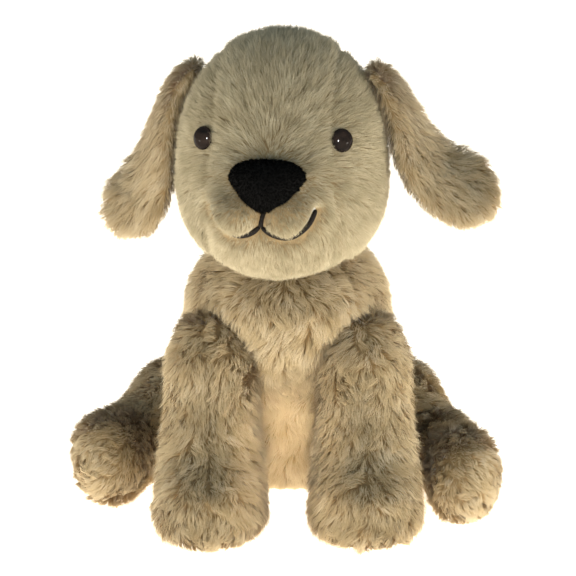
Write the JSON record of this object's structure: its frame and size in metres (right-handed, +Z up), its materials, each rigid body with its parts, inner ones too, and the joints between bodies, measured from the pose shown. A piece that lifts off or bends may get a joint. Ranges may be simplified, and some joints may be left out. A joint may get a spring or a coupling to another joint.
{
  "type": "plush dog",
  "caption": "Seated plush puppy with long cream pile, floppy ears, padded black nose, domed eyes and a stitched smile; head, ears, legs and tail move on soft sewn joints.",
  "frame": {"origin": "on the floor plane, under the hips, on the flat seat that the dog sits on", "axes": "+Z up, the dog looks along -Y, +X to its left side"},
  "size_m": [0.2458, 0.2626, 0.2776],
  "materials": {
    "cream_plush": "long soft cream-beige pile",
    "short_plush": "shorter, warmer cream pile",
    "fibre_filling": "loose white fibre",
    "bean_bag_cloth": "plain woven bag",
    "black_velour": "matte short black pile",
    "black_thread": "black embroidery thread",
    "beige_thread": "beige sewing thread",
    "gloss_black_eye": "polished black",
    "white_washer": "moulded white",
    "woven_label": "white woven tape"
  },
  "bodies": {
    "torso": {"chest_panel": "cream_plush", "side_panel_left": "cream_plush", "side_panel_right": "cream_plush", "seat_panel": "cream_plush", "torso_stuffing": "fibre_filling", "seat_bean_bag": "bean_bag_cloth", "closing_stitch": "beige_thread", "care_label": "woven_label"},
    "neck": {"neck_stuffing": "fibre_filling"},
    "neck_ring": {"neck_thread": "beige_thread"},
    "head": {"forehead_gusset": "cream_plush", "face_panel_left": "cream_plush", "face_panel_right": "cream_plush", "chin_panel": "cream_plush", "head_stuffing": "fibre_filling", "eye_left": "gloss_black_eye", "eye_right": "gloss_black_eye", "eye_washer_left": "white_washer", "eye_washer_right": "white_washer", "nose_pad": "black_velour", "nose_stuffing": "fibre_filling", "mouth_stitch_left": "black_thread", "mouth_stitch_middle": "black_thread", "mouth_stitch_right": "black_thread"},
    "ear_left": {"ear_outer_left": "cream_plush", "ear_lining_left": "short_plush"},
    "ear_right": {"ear_outer_right": "cream_plush", "ear_lining_right": "short_plush"},
    "foreleg_left": {"foreleg_outer_left": "cream_plush", "foreleg_inner_left": "cream_plush", "paw_sole_left": "cream_plush", "foreleg_stuffing_left": "fibre_filling", "paw_bean_bag_left": "bean_bag_cloth"},
    "foreleg_right": {"foreleg_outer_right": "cream_plush", "foreleg_inner_right": "cream_plush", "paw_sole_right": "cream_plush", "foreleg_stuffing_right": "fibre_filling", "paw_bean_bag_right": "bean_bag_cloth"},
    "hindleg_left": {"hindleg_outer_left": "cream_plush", "hindleg_inner_left": "cream_plush", "foot_sole_left": "cream_plush", "hindleg_stuffing_left": "fibre_filling"},
    "hindleg_right": {"hindleg_outer_right": "cream_plush", "hindleg_inner_right": "cream_plush", "foot_sole_right": "cream_plush", "hindleg_stuffing_right": "fibre_filling"},
    "tail": {"tail_upper": "cream_plush", "tail_under": "cream_plush", "tail_stuffing": "fibre_filling"}
  },
  "joints": [
    {"name": "head_turn", "type": "hinge", "parent": "torso", "child": "neck", "pos_m": [0, -0.05, 0.112], "axis": [0, 0, 1], "range_deg": [-30, 30], "stiffness_Nm_per_rad": 0.8},
    {"name": "head_nod", "type": "hinge", "parent": "neck", "child": "neck_ring", "pos_m": [0, -0.05, 0.112], "axis": [0.9925, -0.1219, 0], "range_deg": [-12, 12], "stiffness_Nm_per_rad": 2},
    {"name": "head_tilt", "type": "hinge", "parent": "neck_ring", "child": "head", "pos_m": [0, -0.05, 0.112], "axis": [0.1219, 0.9925, 0], "range_deg": [-12, 12], "stiffness_Nm_per_rad": 2},
    {"name": "ear_lift_left", "type": "hinge", "parent": "head", "child": "ear_left", "pos_m": [-0.0496, -0.06041, 0.25683], "axis": [0.1219, 0.9925, 0], "range_deg": [0, 50], "stiffness_Nm_per_rad": 0.1},
    {"name": "ear_lift_right", "type": "hinge", "parent": "head", "child": "ear_right", "pos_m": [0.04561, -0.0721, 0.25683], "axis": [-0.1219, -0.9925, 0], "range_deg": [0, 50], "stiffness_Nm_per_rad": 0.1},
    {"name": "foreleg_swing_left", "type": "hinge", "parent": "torso", "child": "foreleg_left", "pos_m": [-0.043, -0.08, 0.1], "axis": [-1, 0, 0], "range_deg": [0, 40], "stiffness_Nm_per_rad": 0.6},
    {"name": "foreleg_swing_right", "type": "hinge", "parent": "torso", "child": "foreleg_right", "pos_m": [0.043, -0.08, 0.1], "axis": [-1, 0, 0], "range_deg": [0, 40], "stiffness_Nm_per_rad": 0.6},
    {"name": "hindleg_swing_left", "type": "hinge", "parent": "torso", "child": "hindleg_left", "pos_m": [-0.069, 0.002, 0.038], "axis": [-1, 0, 0], "range_deg": [0, 35], "stiffness_Nm_per_rad": 0.6},
    {"name": "hindleg_swing_right", "type": "hinge", "parent": "torso", "child": "hindleg_right", "pos_m": [0.069, 0.002, 0.038], "axis": [-1, 0, 0], "range_deg": [0, 35], "stiffness_Nm_per_rad": 0.6},
    {"name": "tail_wag", "type": "hinge", "parent": "torso", "child": "tail", "pos_m": [0, 0.057, 0.024], "axis": [0, 0, 1], "range_deg": [-30, 30], "stiffness_Nm_per_rad": 0.1}
  ]
}
